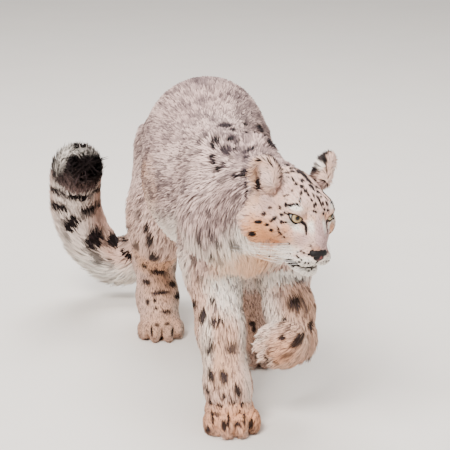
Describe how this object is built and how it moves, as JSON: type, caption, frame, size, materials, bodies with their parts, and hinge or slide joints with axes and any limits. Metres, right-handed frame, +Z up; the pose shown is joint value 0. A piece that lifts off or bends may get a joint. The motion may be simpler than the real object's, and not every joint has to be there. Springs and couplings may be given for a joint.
{
  "type": "snow leopard figure",
  "caption": "Life-size standing snow leopard in a slow walk, one forefoot lifted, head turned aside, long bushy tail curled up beside it.",
  "frame": {"origin": "on the floor, under the middle of the whole animal's bounding box", "axes": "+Z up, -Y the way the body faces, -X the animal's own right side"},
  "size_m": [0.4724, 1.142, 0.5868],
  "materials": {
    "body_coat": "thick soft fur",
    "leg_coat": "short soft fur",
    "ear_coat": "short soft fur",
    "tail_coat": "long bushy fur",
    "nose_leather": "moist skin",
    "eye": "clear and wet"
  },
  "bodies": {
    "root": {"neck": "body_coat", "head": "body_coat", "nose": "nose_leather", "eye_right": "eye", "eye_left": "eye", "ear_right": "ear_coat", "ear_left": "ear_coat", "foreleg_right": "leg_coat", "forepaw_right": "leg_coat", "foreleg_left": "leg_coat", "forepaw_left": "leg_coat", "hindleg_right": "leg_coat", "hindpaw_right": "leg_coat", "hindleg_left": "leg_coat", "hindpaw_left": "leg_coat", "torso": "body_coat", "tail_1": "tail_coat", "tail_2": "tail_coat", "tail_3": "tail_coat", "tail_4": "tail_coat"}
  },
  "joints": []
}
